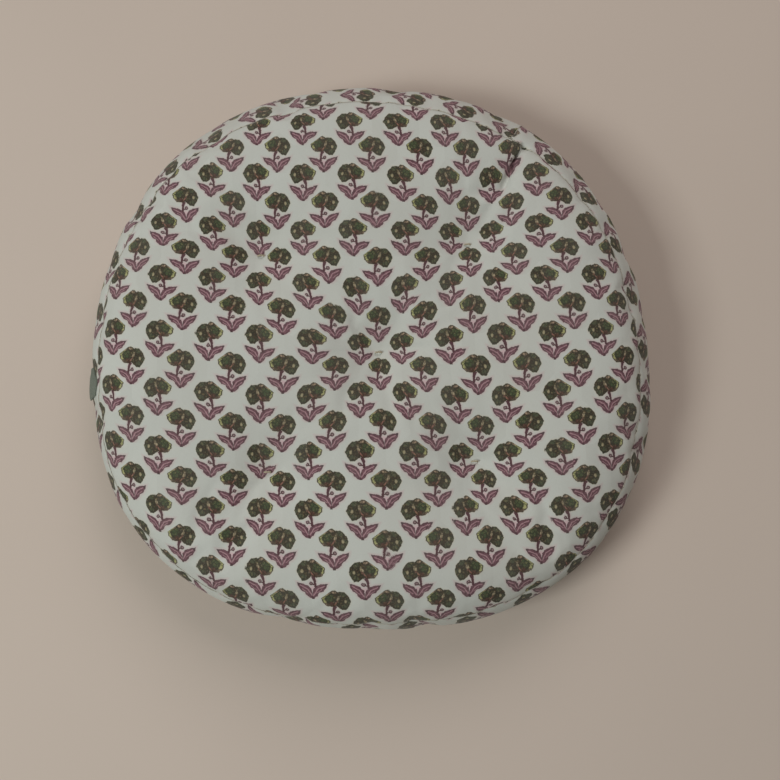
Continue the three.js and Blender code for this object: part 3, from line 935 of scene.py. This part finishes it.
def printed_cotton():
    """Plain-weave cotton with a small flower block-printed in a half-drop repeat."""
    finish = Finish("printed_cotton", sheen=0.12, gloss=0.25)
    place = finish.flat_place()
    x, y, _ = finish.split(place)

    def nearest(value, repeat):
        return (value / repeat + 0.5).floor() * repeat

    # Two sets of flowers, the second half a repeat over and up, and turned over like a mirror image.
    first_x, first_y = x - nearest(x, REPEAT_X), y - nearest(y, REPEAT_Y)
    second_x = x - nearest(x - REPEAT_X / 2, REPEAT_X) - REPEAT_X / 2
    second_y = y - nearest(y - REPEAT_Y / 2, REPEAT_Y) - REPEAT_Y / 2
    second_x = second_x * -1
    first_away = (first_x + 1.2) * (first_x + 1.2) + (first_y + 9) * (first_y + 9)
    second_away = (second_x + 1.2) * (second_x + 1.2) + (second_y + 9) * (second_y + 9)
    is_first = first_away < second_away
    flower_x = second_x + (first_x - second_x) * is_first
    flower_y = second_y + (first_y - second_y) * is_first

    # Each flower is struck a little off its place, and the block's edge is a little ragged.
    number_x = ((x - flower_x) / REPEAT_X * 2).floor()
    number_y = ((y - flower_y) / REPEAT_Y * 2).floor()
    number = {"Vector": finish.join(number_x, number_y)}
    chance = finish.node("ShaderNodeTexWhiteNoise", {"noise_dimensions": "3D"}, number, 1)
    chance_x, chance_y, chance_tone = finish.split(chance)
    ragged = finish.node("ShaderNodeTexNoise", None, {"Vector": place, "Scale": 0.55, "Detail": 2.0}, 1)
    ragged_x, ragged_y, _ = finish.split(ragged)
    flower_x = flower_x + (chance_x - 0.5) * 0.9 + (ragged_x - 0.5) * 1.3
    flower_y = flower_y + (chance_y - 0.5) * 0.9 + (ragged_y - 0.5) * 1.3
    here = finish.join(flower_x, flower_y)

    def disc(centre, radius):
        """Distance outside a disc; less than 0 inside."""
        return finish.vector("DISTANCE", here, (*centre, 0), output=1) - radius

    def oval(centre, across, up, lean=0.0):
        """Like disc, but for an oval whose long way leans over by an angle in degrees."""
        turn = math.radians(lean)
        off_x, off_y = flower_x - centre[0], flower_y - centre[1]
        along = (off_x * math.cos(turn) + off_y * math.sin(turn)) / across
        over = (off_y * math.cos(turn) - off_x * math.sin(turn)) / up
        narrow = min(across, up)
        return finish.vector("LENGTH", finish.join(along, over), output=1) * narrow - narrow

    def stroke(start, end, radius):
        """Distance outside a straight round-ended stroke."""
        line = (end[0] - start[0], end[1] - start[1])
        square = line[0] ** 2 + line[1] ** 2
        off_x, off_y = flower_x - start[0], flower_y - start[1]
        along = ((off_x * line[0] + off_y * line[1]) / square).most(0).least(1)
        gap = finish.join(off_x - along * line[0], off_y - along * line[1])
        return finish.vector("LENGTH", gap, output=1) - radius

    def together(*shapes):
        whole = shapes[0]
        for shape in shapes[1:]:
            whole = whole.least(shape)
        return whole

    def facets(*corners):
        """Distance outside a bulging shape with straight sides, its corners listed anticlockwise."""
        inner = None
        for (ax, ay), (bx, by) in zip(corners, corners[1:] + corners[:1]):
            length = math.hypot(bx - ax, by - ay)
            way = ((by - ay) / length, (ax - bx) / length, 0)
            off = finish.vector("DOT_PRODUCT", here, way, output=1) - (way[0] * ax + way[1] * ay)
            inner = off if inner is None else inner.most(off)
        return inner

    def inked(shape, soft=0.22):
        return 1 - shape.rise(-soft, soft)

    head = together(
        facets(
            (-12.7, 1.8), (-12.0, -2.4), (-8.8, -5.9), (-4.2, -6.3), (0, -5.0), (2.5, 0), (1.6, 6.0),
            (-1.6, 8.3), (-5.2, 7.7), (-9.8, 5.3),
        ),
        facets(
            (-1, -5.6), (3.2, -8.9), (6.6, -9.2), (8.8, -5.8), (10.8, -1.6), (9.2, 2.8), (5.7, 6.5),
            (1.5, 7.0), (-2, 2),
        ),
    )
    left_leaf = together(
        facets(
            (-14.2, -11.2), (-12.5, -14.8), (-9.8, -17.6), (-6.2, -18.8), (-3.0, -16.6), (-4.2, -13.4),
            (-8.0, -11.8),
        ),
        facets((-7.2, -17.0), (-4.8, -21.6), (-1.4, -24.2), (-0.8, -19.0), (-2.2, -15.2), (-5.0, -13.6)),
    )
    right_leaf = together(
        facets(
            (11.0, -10.4), (5.8, -11.6), (1.6, -13.2), (0.6, -16.8), (3.6, -19.4), (7.8, -17.0),
            (10.2, -13.4),
        ),
        facets((4.4, -20.6), (5.4, -17.0), (1.8, -13.6), (-0.4, -15.8), (-1.2, -24.0), (1.4, -23.2)),
    )
    leaves = right_leaf.least(left_leaf)
    stem = together(
        stroke((-2.6, -5.0), (-3.5, -9.5), 1.1),
        stroke((-3.5, -9.5), (-3.8, -13.6), 0.95),
        stroke((-1.4, -6.2), (-3.0, -9.2), 0.6),
        stroke((-3.6, -12.3), (-1.0, -11.8), 0.5),
    )
    foot = stroke((-1.3, -22.4), (-1.4, -26.3), 1.05)
    bud = disc((-0.4, -11.2), 1.6)

    # Cloth, stained and tinged by the inks round each flower.
    threads = finish.speckle(finish.vector("MULTIPLY", place, (0.35, 6.0, 1.0)), 1.0, 3.0)
    cross_threads = finish.speckle(finish.vector("MULTIPLY", place, (6.0, 0.35, 1.0)), 1.0, 3.0)
    slubs = (threads + cross_threads) * 0.5
    stain = finish.speckle(place, 0.012, 3.0)
    green_part = leaves.least(stem).least(bud)
    between_leaves = facets((-3.0, -13.4), (-1.2, -18.5), (0.8, -14.2))
    ground = finish.coated(
        linear(204, 208, 199),
        (slubs.rise(0.3, 0.7), (213, 216, 209)),
        (stain.rise(0.35, 0.7) * 0.35, (206, 205, 195)),
        ((1 - green_part.rise(0.0, 2.4)) * 0.6, (208, 186, 184)),
        ((1 - head.rise(0.0, 1.5)) * 0.4, (208, 200, 176)),
        (inked(between_leaves, 0.8), (214, 186, 188)),
    )

    # The head: dark patches, pale marks on its petals, dark veins and a dark outline.
    patches = finish.speckle(place, 0.42, 3.0, 0.6)
    spots = finish.speckle(place, 0.6, 2.0, 0.6)
    depth = head * -1
    lobes = together(disc((4.6, 5.0), 2.4), disc((5.6, -6.4), 2.6), disc((9.0, -1.8), 2.0))
    left_edge = depth.rise(0.5, 0.9) * (1 - depth.rise(1.9, 2.7)) * (1 - flower_x.rise(-8.8, -6.6))
    top_edge = oval((-2.8, 6.6), 2.2, 0.9, -24).least(oval((-7.2, 5.2), 1.5, 0.7, 24))
    veins = finish.node(
        "ShaderNodeTexVoronoi", {"feature": "DISTANCE_TO_EDGE"}, {"Vector": here, "Scale": 0.34}
    )
    petals = finish.coated(
        linear(66, 52, 36),
        (patches.rise(0.38, 0.62), (52, 56, 38)),
        (inked(disc((-6.2, 1.2), 3.6), 0.9) * 0.8, (66, 84, 50)),
        (inked(lobes, 0.8) * 0.8, (76, 84, 62)),
        (inked(disc((-4.6, -4.2), 1.9), 0.9), (98, 58, 48)),
        (left_edge * spots.rise(0.25, 0.5), (178, 180, 122)),
        (inked(oval((-7.9, -4.6), 2.4, 0.9, -32), 0.5), (150, 124, 104)),
        (inked(top_edge, 0.5), (170, 146, 122)),
        (inked(oval((0.5, 1.0), 0.9, 2.0, -14), 0.5), (184, 168, 136)),
        (inked(stroke((0.4, -0.8), (-2.6, -4.8), 0.5), 0.35), (150, 104, 90)),
        (inked(oval((6.4, -1.8), 0.9, 1.5, 10), 0.5), (170, 160, 126)),
        (spots.rise(0.5, 0.7) * 0.4, (150, 136, 92)),
        (patches.rise(0.56, 0.74) * 0.5, (128, 96, 78)),
        ((1 - veins.rise(0.03, 0.14)) * 0.75, (38, 32, 22)),
        ((1 - depth.rise(0.2, 0.6)) * 0.7, (48, 42, 30)),
    )

    # Each leaf has a dark outline, a pale midrib and pale side veins.
    leaf_depth = leaves * -1
    midribs = together(
        stroke((-11.4, -13.2), (-5.4, -15.8), 0.4),
        stroke((-5.4, -15.8), (-1.6, -21.5), 0.45),
        stroke((8.4, -12.6), (2.8, -15.6), 0.4),
        stroke((2.8, -15.6), (-0.8, -21.5), 0.45),
        stroke((-8.6, -16.2), (-4.4, -19.2), 0.25),
        stroke((7.2, -15.6), (2.6, -19.2), 0.25),
    )
    tips = inked(disc((9.8, -11.4), 1.5).least(disc((-13.2, -12.0), 1.4)), 0.8)
    leaf = finish.coated(
        linear(92, 60, 68),
        (patches.rise(0.35, 0.65), (122, 82, 92)),
        (inked(midribs, 0.3) * 0.85, (186, 146, 152)),
        ((1 - leaf_depth.rise(0.15, 0.6)) * 0.75, (74, 46, 52)),
        (tips * 0.7, (80, 66, 68)),
    )

    strength = 0.97 - patches.rise(0.55, 0.9) * 0.15
    footed = finish.coated(ground, (inked(foot) * strength, (84, 72, 66)))
    leafed = finish.blend(inked(leaves) * strength, footed, leaf)
    stemmed = finish.coated(
        leafed,
        (inked(stem) * strength, (86, 52, 58)),
        (inked(bud) * strength, (88, 64, 66)),
        (inked(disc((-0.35, -11.1), 0.7)) * 0.7, (170, 146, 146)),
    )
    headed = finish.blend(inked(head) * strength, stemmed, petals)
    colour = finish.coated(headed, (chance_tone * 0.1, (150, 146, 136)))

    # Plain weave: threads of 0.4 mm over and under each other.
    per_thread = math.pi / 0.4
    weave = (x * per_thread).sine() * (y * per_thread).sine()
    height = weave * 0.5 + slubs * 1.2
    roughness = 0.86 + slubs * 0.12 - inked(head.least(leaves)) * 0.05
    finish.feed(base_color=colour, roughness=roughness, normal=finish.bump(height, 0.06 * MM, 0.8))
    return finish.material


def wadding_fibre():
    """White fibre wadding, a mass of fine crossed hairs."""
    finish = Finish("wadding_fibre", sheen=0.3, gloss=0.15)
    place = finish.own_place()
    tufty = finish.speckle(place, 60.0, 5.0, 0.7)
    hairs = finish.node(
        "ShaderNodeTexNoise", None, {"Vector": place, "Scale": 420.0, "Detail": 4.0, "Distortion": 2.5}
    )
    colour = finish.coated(
        linear(222, 218, 206),
        (tufty.rise(0.3, 0.7), (240, 238, 230)),
        (hairs.rise(0.55, 0.7) * 0.4, (248, 247, 243)),
    )
    relief = finish.bump(tufty * 2 + hairs, 0.6 * MM)
    finish.feed(base_color=colour, roughness=0.94 + hairs * 0.05, normal=relief)
    return finish.material


def core_felt():
    """Felted pad of mixed fibres, with darker flecks."""
    finish = Finish("core_felt", sheen=0.15, gloss=0.15)
    place = finish.own_place()
    matted = finish.speckle(place, 90.0, 6.0, 0.65)
    flecks = finish.node("ShaderNodeTexVoronoi", None, {"Vector": place, "Scale": 260.0})
    colour = finish.coated(
        linear(196, 186, 164),
        (matted.rise(0.3, 0.7), (216, 208, 190)),
        ((1 - flecks.rise(0.05, 0.16)) * 0.5, (120, 106, 88)),
    )
    finish.feed(base_color=colour, roughness=0.95 + matted * 0.04, normal=finish.bump(matted, 0.8 * MM))
    return finish.material


def twisted(name, pale, groove_shade, turns_per_metre, relief):
    """Spun cotton: slanting plies round each thread, which is unrolled in its flat places."""
    finish = Finish(name, sheen=0.2, gloss=0.3)
    round_it, along, _ = finish.split(finish.node("ShaderNodeUVMap", {"uv_map": "cloth"}))
    ply = ((round_it * 2 + along * turns_per_metre) * (2 * math.pi)).sine()
    fluff = finish.speckle(finish.own_place(), 1500.0, 3.0)
    # Painted shade: the grooves between the plies take the darker colour and their ridges the pale one.
    colour = finish.blend(ply.rise(-0.9, 0.6), groove_shade, pale)
    colour = finish.blend(fluff.rise(0.4, 0.8) * 0.3, colour, pale)
    finish.feed(base_color=colour, roughness=0.8 + fluff * 0.15, normal=finish.bump(ply + fluff, relief))
    return finish.material


def label_tape():
    """Grey-green herringbone tape, blank."""
    finish = Finish("label_tape", sheen=0.1, gloss=0.35)
    x, y, _ = finish.split(finish.flat_place())
    column = (x / 3.0).floor()
    side = (column / 2 - (column / 2).floor()) * 4 - 1
    rib = ((y + x * side) * (2 * math.pi / 0.9)).sine()
    worn = finish.speckle(finish.join(x, y), 0.5, 3.0)
    # Painted shade: the grooves between the herringbone ribs are painted darker and the ribs paler.
    colour = finish.coated(
        linear(96, 104, 94),
        (rib.rise(-0.8, 0.8), (132, 140, 126)),
        (worn.rise(0.45, 0.8) * 0.35, (150, 154, 142)),
    )
    finish.feed(base_color=colour, roughness=0.75 + worn * 0.15, normal=finish.bump(rib, 0.08 * MM))
    return finish.material


def pale_floor():
    """Matt painted board with the faintest mottling."""
    finish = Finish("pale_floor", sheen=0, gloss=0.2)
    place = finish.own_place()
    cloudy = finish.speckle(place, 1.6, 3.0)
    grain = finish.speckle(place, 700.0, 2.0)
    colour = finish.coated(linear(211, 197, 184), (cloudy.rise(0.3, 0.7), (215, 201, 188)))
    finish.feed(base_color=colour, roughness=0.9 + grain * 0.06, normal=finish.bump(grain, 0.05 * MM))
    return finish.material


cotton = printed_cotton()
wadding = wadding_fibre()
felt = core_felt()
# In each thread below, the second colour is painted shade for the grooves between its plies.
sewing_thread = twisted("sewing_thread", linear(222, 216, 200), linear(176, 168, 150), 900, 0.05 * MM)
tufting_twine = twisted("tufting_twine", linear(216, 206, 180), linear(164, 150, 122), 500, 0.08 * MM)
tape = label_tape()


dressed = (
    ("printed_cotton", cotton, {
        "top_panel": top_cloth, "side_band": band_cloth, "bottom_panel": bottom_cloth,
    }),
    ("wadding", wadding, {
        "wadding_top": wadding_top, "wadding_side": wadding_side, "wadding_bottom": wadding_bottom,
    }),
    ("core_felt", felt, {"core_pad": core}),
    ("sewing_thread", sewing_thread, {
        "top_seam_thread": top_seam_thread, "bottom_seam_thread": bottom_seam_thread,
        "closing_stitch_thread": closing_thread, "band_join_thread": join_thread,
    }),
    ("tufting_twine", tufting_twine, {f"tuft_twine_{name}": piece for name, piece in twines.items()}),
    ("label_tape", tape, {"side_label": label}),
)
for slot, material, pieces in dressed:
    for node, piece in pieces.items():
        piece.data.materials.append(material)
        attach(piece, "root")
        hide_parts(node)


band_area = float(band_length * band.width.mean())


# ---- Floor, light and camera ----

FLOOR_SIZE = 6.0
CAMERA_TILT = math.radians(8)
CAMERA_PLACE = (16.8 * MM, -152.7 * MM, 881.7 * MM)
CAMERA_LENS = 43.85
CAMERA_SENSOR = 36
WORLD_COLOUR = (1.0, 0.95, 0.89, 1)
WORLD_STRENGTH = 0.14

half = FLOOR_SIZE / 2
floor_corners = [(-half, -half, 0), (half, -half, 0), (half, half, 0), (-half, half, 0)]
floor = mesh_object("floor", floor_corners, [(0, 1, 2, 3)])
floor.data.materials.append(pale_floor())


def softbox(name, place, size, power, colour):
    """A square lamp that faces the cushion."""
    lamp = bpy.data.lights.new(name, "AREA")
    lamp.size = size
    lamp.energy = power
    lamp.color = colour
    made = bpy.data.objects.new(name, lamp)
    made.location = place
    made.rotation_euler = (Vector((0, 0, 0)) - Vector(place)).to_track_quat("-Z", "Y").to_euler()
    bpy.context.scene.collection.objects.link(made)


softbox("key_light", (-1.45, -0.72, 1.78), 0.7, 23.5, (0.95, 1.0, 0.99))
softbox("back_fill", (0.5, 1.8, 2.0), 1.8, 25, (1.0, 0.93, 0.925))

world = bpy.data.worlds.new("studio")
world.use_nodes = True
background = world.node_tree.nodes["Background"]
background.inputs["Color"].default_value = WORLD_COLOUR
background.inputs["Strength"].default_value = WORLD_STRENGTH
bpy.context.scene.world = world
bpy.context.scene.view_settings.view_transform = "Standard"

camera = bpy.data.objects.new("camera", bpy.data.cameras.new("camera"))
camera.data.lens = CAMERA_LENS
camera.data.sensor_width = CAMERA_SENSOR
camera.location = CAMERA_PLACE
camera.rotation_euler = (CAMERA_TILT, 0, 0)
bpy.context.scene.collection.objects.link(camera)
bpy.context.scene.camera = camera
